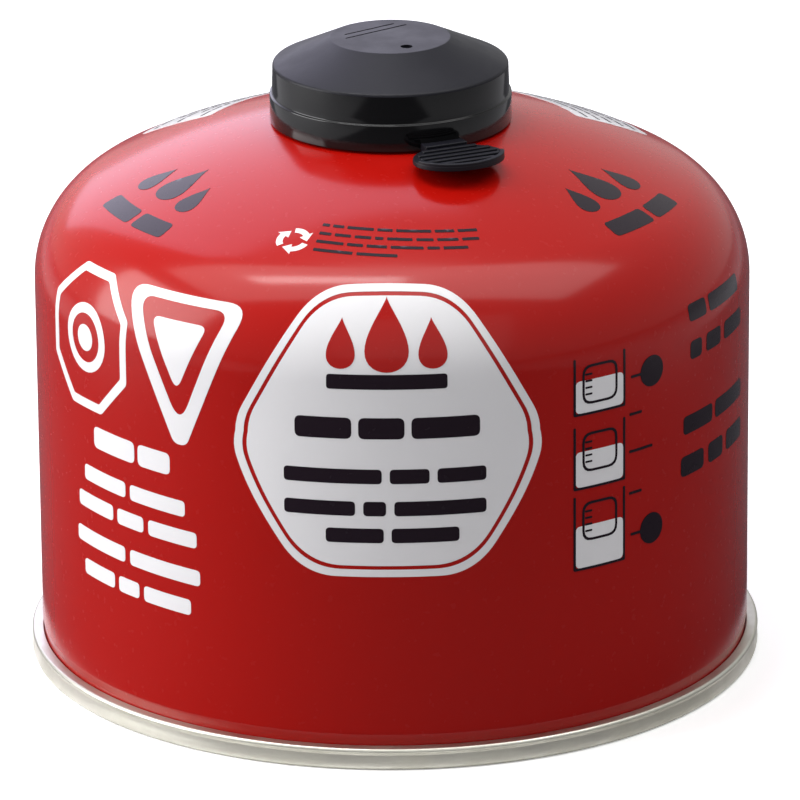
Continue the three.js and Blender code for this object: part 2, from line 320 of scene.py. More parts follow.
def makeTinplate(name):
    material, nodes, links, bsdf = newFinish(name)
    cloud = objectNoise(nodes, links, tinLook["cloudScale"], 4, 0.6)
    grain = objectNoise(nodes, links, tinLook["grainScale"], 3, 0.6, tinLook["grainStretch"])
    colour = blended(nodes, links, ranged(nodes, links, cloud, 0, 1), tinLook["dull"], tinLook["pale"])
    links.new(colour, bsdf.inputs["Base Color"])
    smooth, dull = tinLook["roughness"]
    links.new(ranged(nodes, links, cloud, dull, smooth), bsdf.inputs["Roughness"])
    setInputs(bsdf, {"Metallic": 1})
    bumped(nodes, links, grain, bsdf, tinLook["grainBump"], tinLook["grainDepth"])
    return material


tinplate = makeTinplate("tinplate")

capLook = {
    "gloss": {"colour": (0.0025, 0.0025, 0.003), "roughness": (0.08, 0.11), "specular": 0.4, "grain": 0.02},
    # the satin is the cap's own rougher finish on its top and tab; its lighter, bluish colour is partly a
    # painted reflection of the softbox
    "satin": {"colour": (0.006, 0.006, 0.0095), "roughness": (0.38, 0.46), "specular": 0.19, "grain": 0.25},
    "satinFrom": 90.4,
    "smearScale": 160,
    "grainScale": 2600,
    "grainDepth": 0.00003,
}


def makeCapPlastic(name, look):
    material, nodes, links, bsdf = newFinish(name)
    smear = objectNoise(nodes, links, capLook["smearScale"], 3, 0.6)
    grain = objectNoise(nodes, links, capLook["grainScale"], 2)
    setInputs(bsdf, {"Base Color": (*look["colour"], 1), "Specular IOR Level": look["specular"]})
    links.new(ranged(nodes, links, smear, *look["roughness"]), bsdf.inputs["Roughness"])
    bumped(nodes, links, grain, bsdf, look["grain"], capLook["grainDepth"])
    return material


capGloss = makeCapPlastic("capGloss", capLook["gloss"])
capSatin = makeCapPlastic("capSatin", capLook["satin"])


plainLooks = {
    "valvePlastic": {
        "colours": ((0.72, 0.70, 0.62), (0.66, 0.63, 0.55)), "roughness": (0.38, 0.5),
        "metallic": 0, "scale": 700, "bump": 0.1,
    },
    "sealRubber": {
        "colours": ((0.018, 0.018, 0.018), (0.03, 0.03, 0.03)), "roughness": (0.7, 0.85),
        "metallic": 0, "scale": 1500, "bump": 0.3,
    },
    "springSteel": {
        "colours": ((0.62, 0.62, 0.62), (0.5, 0.5, 0.5)), "roughness": (0.22, 0.34),
        "metallic": 1, "scale": 1200, "bump": 0.1,
    },
}
plainDepth = 0.00003


def makePlain(name):
    look = plainLooks[name]
    material, nodes, links, bsdf = newFinish(name)
    cloud = objectNoise(nodes, links, look["scale"], 3)
    colour = blended(nodes, links, ranged(nodes, links, cloud, 0, 1), *look["colours"])
    links.new(colour, bsdf.inputs["Base Color"])
    links.new(ranged(nodes, links, cloud, *look["roughness"]), bsdf.inputs["Roughness"])
    setInputs(bsdf, {"Metallic": look["metallic"]})
    bumped(nodes, links, cloud, bsdf, look["bump"], plainDepth)
    return material


valvePlastic = makePlain("valvePlastic")
sealRubber = makePlain("sealRubber")
springSteel = makePlain("springSteel")
for nodeName, finish in (
    ("cup_gasket", sealRubber),
    ("stem_gasket", sealRubber),
    ("valve_housing", valvePlastic),
):
    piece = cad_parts[nodeName]
    piece.data.materials.clear()
    piece.data.materials.append(finish)
print("finishes made")


# the can's body: bottom recess, wall, shoulder, dome and rolled mouth
body = {
    "segments": 256, "shoulderSteps": 28, "domeSteps": 26, "beadSteps": 14, "neckRound": 1.2, "smooth": 28,
}
bottom = {
    "seamReach": 1.65,
    "seamLip": 0.65,
    "seamBead": 0.45,
    "seamDip": 0.3,
    "rimThickness": 0.35,
    "rimDepth": 1.9,
    "chuckThickness": 0.7,
    "panelThickness": 0.5,
    "panelEdgeHeight": 4.6,
    "panelRise": 4.4,
    "panelCorner": 1.3,
    "panelSteps": 18,
    "chuckEase": 0.2,
    "dipFoot": 0.75,
    "dipRound": 0.5,
    "slotChamfer": 0.12,
    "seatGap": 0.1,
}
rimOuter = can["wallRadius"] - can["neckIn"]
rimInner = rimOuter - bottom["rimThickness"]
slotOuter = rimOuter + bottom["seatGap"]
slotInner = rimInner - bottom["seatGap"]
slotFloor = can["seamHeight"] - bottom["rimDepth"]
chuckRadius = slotInner - bottom["chuckThickness"]
panelEdge = chuckRadius - bottom["panelCorner"]
panelSphere = (panelEdge ** 2 + bottom["panelRise"] ** 2) / (2 * bottom["panelRise"])
panelCentreZ = bottom["panelEdgeHeight"] + bottom["panelRise"] - panelSphere
panelSlope = degrees(acos(panelEdge / panelSphere))


def panelOutline(offset):
    points = arcPoints(0, panelCentreZ, panelSphere + offset, 90, panelSlope, bottom["panelSteps"])
    points[0] = (0, points[0][1])
    return points


# the valve's heights, worked up from the bead as in the source
valve = {
    "cupSheet": 0.45,
    "curlEnd": -15,
    "troughDepth": 4.8,
    "gasket": 0.45,
    "seatGap": 0.1,
    "cupGap": 0.25,
    "bossRadius": 5.55,
    "bossBore": 4.45,
    "bossHeight": 4.9,
    "bossChamfer": 0.45,
    "bossPlate": 0.7,
    "bossHole": 2.2,
    "holeEdge": 0.12,
    "curlSteps": 22,
    "housingLength": 14.0,
    "stemGasket": 1.2,
    "slideGap": 0.06,
}
curlInner = can["beadRadius"] + 2 * valve["seatGap"] + valve["gasket"]
curlOuter = curlInner + valve["cupSheet"]
curlTop = beadCentreZ + curlOuter
curlRadius = beadCentreR + curlOuter
troughRadius = beadCentreR - curlOuter
troughFloor = curlTop - valve["troughDepth"]
bossTop = curlTop + valve["bossHeight"]
housingTop = bossTop - valve["bossPlate"] - valve["seatGap"] - valve["stemGasket"] - valve["slideGap"]
housingFoot = housingTop - valve["housingLength"]
pocketRadius = valve["bossBore"] - valve["seatGap"] + valve["cupGap"]


def makeCanBody():
    panelTop = bottom["panelThickness"] + bottom["seatGap"]
    cupFloor = troughFloor - valve["cupSheet"] - valve["cupGap"]
    neckAngle = degrees(acos(neckRadius / can["domeRadius"]))
    outline = panelOutline(panelTop)
    outline += [(rimInner, bottom["panelEdgeHeight"] + panelTop), (rimInner, slotFloor + bottom["seatGap"])]
    outline += [(rimOuter, slotFloor + bottom["seatGap"])]
    neck = [(rimOuter, can["neckFoot"] - 0.5), (rimOuter, can["neckFoot"])]
    neck += [(can["wallRadius"], can["neckTop"]), (can["wallRadius"], can["neckTop"] + 1)]
    outline += softened(neck, body["neckRound"], 6, closed=False)
    shoulderEnd = degrees(shoulderTurn)
    outline += arcPoints(
        shoulderCentre, can["wallTop"], can["shoulderRadius"], 0, shoulderEnd, body["shoulderSteps"])
    outline += arcPoints(0, domeCentreZ, can["domeRadius"], shoulderEnd, neckAngle, body["domeSteps"])[1:]
    outline += arcPoints(beadCentreR, beadCentreZ, can["beadRadius"], 0, 180, body["beadSteps"])
    pocketFloor = housingFoot - valve["cupGap"]
    outline += [(can["mouthRadius"], cupFloor), (pocketRadius, cupFloor)]
    outline += [(pocketRadius, pocketFloor), (0, pocketFloor)]
    piece = turnedPiece("canBody", outline, body["segments"], body["smooth"])
    piece.data.materials.append(lacquerRed)
    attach(piece, "can")
    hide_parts("can_shell")


def makeBottomSeam():
    seamRadius = can["wallRadius"] + bottom["seamReach"]
    lip = bottom["seamLip"]
    bead = bottom["seamBead"]
    top = can["seamHeight"]
    corner = bottom["panelCorner"]
    edgeZ = bottom["panelEdgeHeight"]
    outline = panelOutline(0)
    outline += arcPoints(panelEdge, edgeZ - corner, corner, 60, 0, 8)
    outline += [(chuckRadius, lip + bottom["chuckEase"])]
    outline += arcPoints(chuckRadius + lip, lip, lip, 180, 270, 6)
    outline += arcPoints(seamRadius - lip, lip, lip, 270, 360, 8)
    dip = [(seamRadius, lip), (seamRadius - bottom["seamDip"] * 0.6, lip + bottom["dipFoot"])]
    dip += [(seamRadius - bottom["seamDip"], top - 2 * bead), (seamRadius - 0.04, top - bead - 0.14)]
    outline += softened(dip, bottom["dipRound"], 5, closed=False)[1:]
    outline += arcPoints(seamRadius - bead, top - bead, bead, 0, 90, 8)
    chamfer = bottom["slotChamfer"]
    outline += [(slotOuter + chamfer, top), (slotOuter, top - chamfer)]
    outline += [(slotOuter, slotFloor), (slotInner, slotFloor)]
    outline += [(slotInner, edgeZ + bottom["panelThickness"] - corner)]
    outline += panelOutline(bottom["panelThickness"])[::-1]
    piece = turnedPiece("bottomSeam", outline, body["segments"], 40)
    piece.data.materials.append(tinplate)
    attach(piece, "can")
    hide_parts("bottom_end")


makeCanBody()
makeBottomSeam()
print("can body and bottom seam made")


# the valve cup with the real boss thread, 28 turns to the inch
thread = {
    "pitch": 0.907, "depth": 0.5, "foot": 1.1, "ramp": 0.3, "crestHalf": 0.07, "rootSink": 0.05,
    "fill": 0.94, "leastFade": 0.02, "stepsPerTurn": 64, "runOut": 0.4,
}


def makeValveCup():
    sheet = valve["cupSheet"]
    edge = valve["holeEdge"]
    boss = valve["bossRadius"]
    core = boss - thread["depth"]
    outline = arcPoints(beadCentreR, beadCentreZ, curlOuter, valve["curlEnd"], 180, valve["curlSteps"])
    outline += softened([
        (troughRadius, beadCentreZ - 0.3),
        (troughRadius, troughFloor),
        (boss, troughFloor),
        (boss, troughFloor + thread["foot"]),
    ], sheet * 1.6, 6, closed=False)
    outline += [(core, troughFloor + thread["foot"] + thread["ramp"])]
    outline += [(core, bossTop - valve["bossChamfer"] - 0.1)]
    outline += [(core - 0.25, bossTop - 0.06), (core - 0.4, bossTop)]
    outline += [(valve["bossHole"] + edge, bossTop), (valve["bossHole"], bossTop - edge)]
    plateFoot = bossTop - valve["bossPlate"]
    outline += [(valve["bossHole"], plateFoot), (valve["bossBore"], plateFoot)]
    outline += [(valve["bossBore"], troughFloor - sheet), (troughRadius, troughFloor - sheet)]
    outline += [(troughRadius + sheet, troughFloor)]
    outline += arcPoints(beadCentreR, beadCentreZ, curlInner, 180, valve["curlEnd"], valve["curlSteps"])
    piece = turnedPiece("valveCup", outline, 160, 40)
    piece.data.materials.append(tinplate)
    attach(piece, "can")
    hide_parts("valve_cup")


def makeBossThread():
    # one pointed ridge wound round the boss and tapered into it at both ends
    low = troughFloor + thread["foot"] + 0.35
    high = bossTop - valve["bossChamfer"] - 0.1
    core = valve["bossRadius"] - thread["depth"]
    turns = (high - low) / thread["pitch"]
    steps = int(turns * thread["stepsPerTurn"])
    mesh = bmesh.new()
    rings = []
    for i in range(steps + 1):
        t = i / steps
        a = turn * turns * t
        z = low + (high - low) * t
        fade = min(1.0, t * turns / thread["runOut"], (1 - t) * turns / thread["runOut"])
        crest = core + thread["depth"] * max(fade, thread["leastFade"])
        half = 0.5 * thread["pitch"] * thread["fill"]
        root = core - thread["rootSink"]
        flat = thread["crestHalf"]
        section = [(root, z - half), (crest, z - flat), (crest, z + flat), (root, z + half)]
        rings.append([mesh.verts.new(roundAxis(r, a, h)) for r, h in section])
    skinRings(mesh, rings)
    piece = meshObject("bossThread", mesh, 30)
    piece.data.materials.append(tinplate)
    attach(piece, "can")


stem = {
    "radius": 1.6,
    "bore": 0.65,
    "recess": 0.9,
    "flangeRadius": 2.7,
    "flangeHeight": 1.1,
    "spigotRadius": 1.3,
    "spigotLength": 1.6,
    "round": 0.12,
}


def makeStem():
    top = bossTop - stem["recess"]
    flangeTop = housingTop
    flangeFoot = flangeTop - stem["flangeHeight"]
    foot = flangeFoot - stem["spigotLength"]
    outline = [(0, foot)]
    outline += softened([
        (0.1, foot),
        (stem["spigotRadius"], foot),
        (stem["spigotRadius"], flangeFoot),
        (stem["flangeRadius"], flangeFoot),
        (stem["flangeRadius"], flangeTop),
        (stem["radius"], flangeTop),
        (stem["radius"], top),
        (stem["bore"], top),
        (stem["bore"], flangeTop),
        (0.1, flangeTop),
    ], stem["round"], 3, closed=False)
    outline += [(0, flangeTop)]
    piece = turnedPiece("valveStem", outline, 64, 35)
    piece.data.materials.append(valvePlastic)
    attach(piece, "stem")
    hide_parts("valve_stem")


# wire is half the wire's thickness, and stroke is how far the stem goes down
spring = {
    "housingFloor": 1.2, "housingWall": 1.05, "wire": 0.24, "turns": 5, "stepsPerTurn": 36, "sides": 10,
    "stroke": 1.5,
}


def makeSpring():
    wire = spring["wire"]
    low = housingFoot + spring["housingFloor"] + wire + valve["slideGap"]
    high = housingTop - stem["flangeHeight"] - wire - valve["slideGap"]
    bore = valve["bossBore"] - valve["seatGap"] - spring["housingWall"]
    radius = (stem["spigotRadius"] + bore) / 2
    steps = spring["turns"] * spring["stepsPerTurn"]
    mesh = bmesh.new()
    rings = []
    for i in range(steps + 1):
        a = spring["turns"] * turn * i / steps
        z = low + (high - low) * i / steps
        ring = []
        for k in range(spring["sides"]):
            b = turn * k / spring["sides"]
            r = radius + wire * cos(b)
            h = z + wire * sin(b)
            ring.append(mesh.verts.new((r * mm * cos(a), r * mm * sin(a), h * mm)))
        rings.append(ring)
    skinRings(mesh, rings)
    piece = meshObject("valveSpring", mesh, 50)
    piece.data.materials.append(springSteel)
    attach(piece, "can")
    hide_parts("valve_spring")
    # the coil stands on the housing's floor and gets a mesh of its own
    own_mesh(piece)


makeValveCup()
makeBossThread()
makeStem()
makeSpring()
print("valve made")


# the cap: wall of revolution, pull tab, hole and two plain grooves on its top
cap = {
    "wall": 1.2,
    "gap": 0.12,
    "curlClearance": 0.25,
    "skirtHeight": 4.1,
    "step": 0.36,
    "edge": 0.2,
    "shoulderHeight": 8.75,
    "taper": 0.1,
    "fillet": 0.5,
    "topRadius": 8.9,
    "topRound": 0.25,
    "height": 12.45,
    "coneSteps": 8,
    "topEdgeRound": 0.5,
    "snapHeight": 0.5,
    "snapLand": 0.15,
    "holeRadius": 0.9,
    "holeX": 2.4,
    "holeY": -5.3,
    "grooveWidth": 0.34,
    "grooveDepth": 0.3,
    "grooveLengths": (11.4, 9.2),
    "grooveOffsets": (3.4, 5.0),
    "grooveTurn": 128,
    "segments": 192,
}
capBore = curlRadius + cap["curlClearance"]
capRadius = capBore + cap["wall"]
capFoot = domeHeight(capBore) + cap["gap"]
capTop = capFoot + cap["height"]


def capOutline():
    upperFoot = capRadius - cap["step"]
    upperTop = upperFoot - cap["taper"]
    shoulder = capFoot + cap["shoulderHeight"]
    skirtTop = capFoot + cap["skirtHeight"]
    edge = cap["edge"]
    top = cap["topRadius"]
    small = cap["topRound"]
    drop = atan2(cap["height"] - cap["shoulderHeight"], upperTop - top)
    inside = cap["wall"] / cos(drop)
    insideRadius = upperTop - cap["wall"]
    insideShoulder = shoulder - inside
    outline = [(0, capTop - cap["wall"]), (top - small, capTop - cap["wall"])]
    outline += [(insideRadius - small, insideShoulder), (insideRadius, insideShoulder - cap["fillet"])]
    outline += [(insideRadius, skirtTop + cap["fillet"]), (capBore, skirtTop - edge)]
    snapFoot = capFoot + cap["snapHeight"] / 2
    reach = curlRadius + valve["slideGap"]
    outline += [(capBore, snapFoot + cap["snapHeight"]), (reach, snapFoot + 2 * cap["snapLand"])]
    outline += [(reach, snapFoot + cap["snapLand"]), (capBore, snapFoot - cap["snapLand"])]
    outline += [(capBore, capFoot)]
    outside = [(capRadius - 1, capFoot), (capRadius, capFoot), (capRadius, skirtTop)]
    outside += [(upperFoot, skirtTop), (upperFoot, skirtTop + 1)]
    outline += softened(outside, edge, 4, closed=False)[1:]
    coneAngle = 90 - degrees(drop)
    outline += arcPoints(upperTop - cap["fillet"], shoulder - cap["fillet"], cap["fillet"], 0, coneAngle, 7)
    startR, startZ = outline[-1]
    endR, endZ = top + small, capTop - small * sin(drop)
    for i in range(1, cap["coneSteps"]):
        t = i / cap["coneSteps"]
        outline.append((startR + (endR - startR) * t, startZ + (endZ - startZ) * t))
    corner = [(endR + 0.01, endZ - 0.005), (top + 0.05, capTop), (top - 2 * small, capTop)]
    outline += softened(corner, cap["topEdgeRound"], 5, closed=False)
    outline += [(0, capTop)]
    return outline


def groovePlace(x, y, z):
    a = radians(cap["grooveTurn"])
    return ((x * cos(a) - y * sin(a)) * mm, (x * sin(a) + y * cos(a)) * mm, z * mm)


def cutAway(piece, cutters):
    for cutter in cutters:
        carve = piece.modifiers.new("carve", "BOOLEAN")
        carve.operation = "DIFFERENCE"
        carve.solver = "EXACT"
        carve.object = cutter
    view = bpy.context.evaluated_depsgraph_get()
    carved = bpy.data.meshes.new_from_object(piece.evaluated_get(view))
    piece.modifiers.clear()
    piece.data = carved
    for cutter in cutters:
        bpy.data.objects.remove(cutter)
    carved.polygons.foreach_set("use_smooth", [True] * len(carved.polygons))
    carved.set_sharp_from_angle(angle=radians(32))


def makeCap():
    piece = turnedPiece("capShell", capOutline(), cap["segments"], 32)
    mesh = bmesh.new()
    spot = Matrix.Translation((cap["holeX"] * mm, cap["holeY"] * mm, capTop * mm))
    size = cap["holeRadius"] * mm
    bmesh.ops.create_cone(
        mesh, cap_ends=True, segments=40, radius1=size, radius2=size, depth=4 * cap["wall"] * mm, matrix=spot)
    cutters = [meshObject("holeCutter", mesh)]
    for offset, length in zip(cap["grooveOffsets"], cap["grooveLengths"]):
        mesh = bmesh.new()
        half = cap["grooveWidth"] / 2
        loop = [(offset - half, -length / 2), (offset + half, -length / 2)]
        loop += [(offset + half, length / 2), (offset - half, length / 2)]
        prism(mesh, loop, capTop - cap["grooveDepth"], capTop + 1, groovePlace)
        cutters.append(meshObject("grooveCutter", mesh))
    cutAway(piece, cutters)
    piece.data.materials.clear()
    piece.data.materials.append(capGloss)
    piece.data.materials.append(capSatin)
    for face in piece.data.polygons:
        face.material_index = int(face.center.z > capLook["satinFrom"] * mm)
    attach(piece, "cap")
    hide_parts("cap")


tab = {
    "turn": 24.5,
    "halfWidth": 6.95,
    "halfLength": 5.3,
    "standOff": 0.45,
    "thickness": 0.75,
    "rimWidth": 0.75,
    "rimHeight": 0.4,
    "rimInset": 0.02,
    "rimSink": 0.3,
    "ribCount": 5,
    "ribPitch": 1.6,
    "ribWidth": 0.75,
    "ribHeight": 0.35,
    "ribSink": 0.2,
    "ribEndGap": 0.1,
    "neckWidth": 6.6,
    "neckReach": 1.2,
    "neckHeight": 1.35,
    "gap": 0.22,
    "bevel": 0.13,
}
tabFoot = domeHeight(capRadius) + tab["gap"]
tabTop = tabFoot + tab["thickness"]
tabCentre = capRadius + tab["standOff"] + tab["halfLength"]


def tabPlace(x, y, z):
    # x points away from the cap's axis, y runs round it
    a = radians(tab["turn"])
    return ((x * sin(a) + y * cos(a)) * mm, (-x * cos(a) + y * sin(a)) * mm, z * mm)


def ovalArc(halfLength, halfWidth, start, end, steps):
    points = []
    for i in range(steps + 1):
        a = start + (end - start) * i / steps
        points.append((tabCentre + halfLength * cos(a), halfWidth * sin(a)))
    return points


def makeTab():
    mesh = bmesh.new()
    prism(mesh, ovalArc(tab["halfLength"], tab["halfWidth"], 0, turn, 72)[:-1], tabFoot, tabTop, tabPlace)
    innerLength = tab["halfLength"] - tab["rimWidth"]
    innerWidth = tab["halfWidth"] - tab["rimWidth"]
    open1 = acos(tab["rimWidth"] / tab["halfLength"])
    open2 = acos(tab["rimWidth"] / innerLength)
    inset = tab["rimInset"]
    rimLoop = ovalArc(tab["halfLength"] - inset, tab["halfWidth"] - inset, -open1, open1, 44)
    rimLoop += ovalArc(innerLength, innerWidth, open2, -open2, 44)
    prism(mesh, rimLoop, tabTop - tab["rimSink"], tabTop + tab["rimHeight"], tabPlace)
    for i in range(tab["ribCount"]):
        x = (i - (tab["ribCount"] - 1) / 2) * tab["ribPitch"]
        reach = innerWidth * sqrt(max(0.02, 1 - (x / innerLength) ** 2)) - tab["ribEndGap"]
        half = tab["ribWidth"] / 2
        loop = [(tabCentre + x - half, -reach), (tabCentre + x + half, -reach)]
        loop += [(tabCentre + x + half, reach), (tabCentre + x - half, reach)]
        prism(mesh, loop, tabTop - tab["ribSink"], tabTop + tab["ribHeight"], tabPlace)
    halfNeck = tab["neckWidth"] / 2
    root = capRadius - cap["wall"] / 2
    end = capRadius + tab["standOff"] + tab["neckReach"]
    neckLoop = [(root, -halfNeck), (end, -halfNeck), (end, halfNeck), (root, halfNeck)]
    prism(mesh, neckLoop, tabFoot, tabFoot + tab["neckHeight"], tabPlace)
    piece = meshObject("capTab", mesh, 40)
    bevelEdges(piece, tab["bevel"], 3)
    piece.data.materials.append(capSatin)
    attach(piece, "cap")


makeCap()
makeTab()
print("cap made")


# print: thin raised ink on the can, laid out flat in millimetres
# u runs round the can from the front towards the right, v up the wall and over the dome
# lift is the height of ink on the can, and overLift of dark or red ink on top of white
ink = {"lift": 0.045, "overLift": 0.075, "sink": 0.03, "grid": 1.15}


def canPoint(u, v, lift):
    around = u / can["wallRadius"]
    bend = (v - can["wallTop"]) / can["shoulderRadius"]
    if bend <= 0:
        r, z, tilt = can["wallRadius"], v, 0.0
    elif bend <= shoulderTurn:
        r = shoulderCentre + can["shoulderRadius"] * cos(bend)
        z = can["wallTop"] + can["shoulderRadius"] * sin(bend)
        tilt = bend
    else:
        shoulderArc = can["shoulderRadius"] * shoulderTurn
        tilt = shoulderTurn + (v - can["wallTop"] - shoulderArc) / can["domeRadius"]
        r = can["domeRadius"] * cos(tilt)
        z = domeCentreZ + can["domeRadius"] * sin(tilt)
    r += lift * cos(tilt)
    z += lift * sin(tilt)
    return roundAxis(r, around, z)


def canRadiusAt(v):
    return -canPoint(0, v, 0)[1] / mm


def insideLoops(point, loops):
    x, y = point
    crossings = 0
    for loop in loops:
        for i, (x1, y1) in enumerate(loop):
            x0, y0 = loop[i - 1]
            if (y0 > y) != (y1 > y) and x < (x1 - x0) * (y - y0) / (y1 - y0) + x0:
                crossings += 1
    return crossings % 2 == 1


def addInk(mesh, loops, lift):
    # one closed thin slab from an outer loop and its holes
    points = []
    edges = []
    for loop in loops:
        start = len(points)
        points += [Vector(p) for p in loop]
        edges += [(start + i, start + (i + 1) % len(loop)) for i in range(len(loop))]
    lowU = min(p.x for p in points)
    highU = max(p.x for p in points)
    lowV = min(p.y for p in points)
    highV = max(p.y for p in points)
    columns = ceil((highU - lowU) / ink["grid"])
    rows = ceil((highV - lowV) / ink["grid"])
    for i in range(1, columns + 1):
        for j in range(1, rows + 1):
            spot = (lowU + (highU - lowU) * i / (columns + 1), lowV + (highV - lowV) * j / (rows + 1))
            if insideLoops(spot, loops):
                points.append(Vector(spot))
    flat, _, triangles, _, _, _ = delaunay_2d_cdt(points, edges, [], 0, 1e-5)
    kept = []
    for triangle in triangles:
        centre = sum((flat[i] for i in triangle), Vector((0, 0))) / 3
        if insideLoops(centre, loops):
            kept.append(tuple(triangle))
    used = sorted({i for triangle in kept for i in triangle})
    top = {i: mesh.verts.new(canPoint(flat[i].x, flat[i].y, lift)) for i in used}
    foot = {i: mesh.verts.new(canPoint(flat[i].x, flat[i].y, -ink["sink"])) for i in used}
    sides = {}
    for triangle in kept:
        mesh.faces.new([top[i] for i in triangle])
        mesh.faces.new([foot[i] for i in reversed(triangle)])
        for k in range(3):
            a, b = triangle[k], triangle[(k + 1) % 3]
            key = (min(a, b), max(a, b))
            sides[key] = None if key in sides else (a, b)
    for pair in sides.values():
        if pair:
            a, b = pair
            mesh.faces.new([top[b], top[a], foot[a], foot[b]])


def inkPiece(name, shapes, finish, lift=ink["lift"]):
    mesh = bmesh.new()
    for loops in shapes:
        addInk(mesh, loops, lift)
    piece = meshObject(name, mesh, 30)
    piece.data.materials.append(finish)
    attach(piece, "can")


def finer(loop, step=1.1):
    # adds points along long sides so that ink follows the can
    result = []
    for i, point in enumerate(loop):
        ahead = loop[(i + 1) % len(loop)]
        length = dist(point, ahead)
        parts = max(1, int(length / step))
        for j in range(parts):
            t = j / parts
            result.append((point[0] + (ahead[0] - point[0]) * t, point[1] + (ahead[1] - point[1]) * t))
    return result


def roundLoop(corners, radius, steps=8):
    return finer(softened(corners, radius, steps))


def boxLoop(u0, u1, v0, v1, radius, lean=0.0):
    # lean is the rise in v per unit of u
    corners = [(u0, v0), (u1, v0), (u1, v1), (u0, v1)]
    corners = [(u, v + lean * (u - u0)) for u, v in corners]
    return roundLoop(corners, radius, 4)


def discLoop(u, v, radius, steps=36):
    stretch = can["wallRadius"] / canRadiusAt(v)
    points = []
    for i in range(steps):
        a = turn * i / steps
        points.append((u + radius * stretch * cos(a), v + radius * sin(a)))
    return points


def dropLoop(u, v, size, steps=40):
    # a plain drop, pointed at the top
    stretch = can["wallRadius"] / canRadiusAt(v)
    points = []
    for i in range(steps):
        a = turn * i / steps
        wide = 0.5 * size * sin(a) * sin(a / 2) ** 1.6
        points.append((u + stretch * wide, v + 0.62 * size * cos(a)))
    return points


def wordBars(u0, u1, v0, v1, words, gap, lean=0.0):
    # one line of print as plain bars, one for each word
    total = sum(words) + gap * (len(words) - 1)
    unit = (u1 - u0) / total
    radius = 0.28 * (v1 - v0)
    shapes = []
    u = u0
    for word in words:
        rise = lean * (u - u0)
        shapes.append([boxLoop(u, u + word * unit, v0 + rise, v1 + rise, radius, lean)])
        u += (word + gap) * unit
    return shapes


badge = {
    "centreU": -0.9,
    "corners": [(-23.6, 0), (-11.2, 22.2), (11.2, 22.2), (23.6, 0), (12.6, -20.9), (-12.6, -20.9)],
    "middleV": 50.3,
    "round": 8.5,
    "border": 1.15,
    "line": 0.6,
    "topSwell": 1.3,
    "lowSwell": 0.075,
}


def badgeLoop(inset):
    corners = []
    for u, v in badge["corners"]:
        reach = hypot(u, v)
        share = 1 - inset * 1.13 / reach
        corners.append((u * share, v * share))
    points = []
    for u, v in roundLoop(corners, badge["round"], 12):
        # the top side swells upwards and the lower sides outwards a little
        swell = 0.0
        if v > 0:
            swell = badge["topSwell"] * max(0.0, 1 - (u / 13.0) ** 2) * (v / 22.2) ** 3
        wide = 1 + badge["lowSwell"] * sin(pi * min(1.0, max(0.0, -v / 20.9)))
        points.append((badge["centreU"] + u * wide, badge["middleV"] + v + swell))
    return points


def makeBadge():
    rim = [badgeLoop(0), badgeLoop(badge["border"])]
    field = [badgeLoop(badge["border"] + badge["line"])]
    inkPiece("badgeWhite", [rim, field], printWhite)


makeBadge()
print("badge made")

# drops are u, v and size, the bar is u, u, v, v and corner, and rows are as wordBars takes them
badgePrint = {
    "drops": [(-0.9, 66.0, 9.0), (-7.6, 64.6, 6.0), (5.8, 64.6, 6.0)],
    "bar": (-9.6, 7.8, 57.9, 60.1, 0.5),
    "rows": [
        (-14.3, 12.5, 50.4, 53.6, [5, 4, 6], 0.6),
        (-16.0, 13.4, 43.6, 45.8, [10, 4, 5], 0.8),
        (-16.0, 13.4, 38.7, 40.9, [7, 2.2, 9], 0.8),
        (-9.9, 9.4, 34.6, 36.8, [6, 7], 0.8),
    ],
}


def makeBadgePrint():
    drops = [[dropLoop(*drop)] for drop in badgePrint["drops"]]
    inkPiece("badgeDrops", drops, lacquerRed, ink["overLift"])
    shapes = [[boxLoop(*badgePrint["bar"])]]
    for row in badgePrint["rows"]:
        shapes += wordBars(*row)
    inkPiece("badgeWords", shapes, printDark, ink["overLift"])


makeBadgePrint()


def frameShape(corners, line, radius):
    centreU = sum(u for u, v in corners) / len(corners)
    centreV = sum(v for u, v in corners) / len(corners)
    inner = []
    for u, v in corners:
        reach = hypot(u - centreU, v - centreV)
        share = 1 - line * 1.1 / reach
        inner.append((centreU + (u - centreU) * share, centreV + (v - centreV) * share))
    return [roundLoop(corners, radius), roundLoop(inner, radius * 0.7)]


leftPrint = {
    "signBox": (-63.2, -43.2, 47.1, 68.7),
    "signCut": 6.0,
    "signLine": 1.35,
    "signRound": 1.2,
    "ringMiddle": (-53.2, 57.9),
    "ringRadii": (5.2, 3.7, 2.0),
    "triangles": [
        ([(-45.0, 68.9), (-22.0, 68.9), (-31.7, 46.4), (-33.9, 46.4)], 2.6),
        ([(-41.9, 67.5), (-25.1, 67.5), (-32.8, 49.2)], 1.8),
        ([(-38.6, 64.9), (-28.4, 64.9), (-33.3, 54.4)], 1.0),
    ],
    "rows": [
        (-51.2, -34.8, 41.6, 44.9, [9, 6], 0.7, -0.02),
        (-54.0, -32.2, 35.9, 38.3, [9, 9.5], 0.9, -0.025),
        (-55.8, -30.2, 31.5, 33.9, [8, 5, 8], 0.9, -0.025),
        (-56.4, -29.7, 25.9, 28.3, [10, 11], 0.9, -0.03),
        (-54.5, -31.4, 21.0, 23.4, [7, 4, 8], 0.9, -0.03),
    ],
}


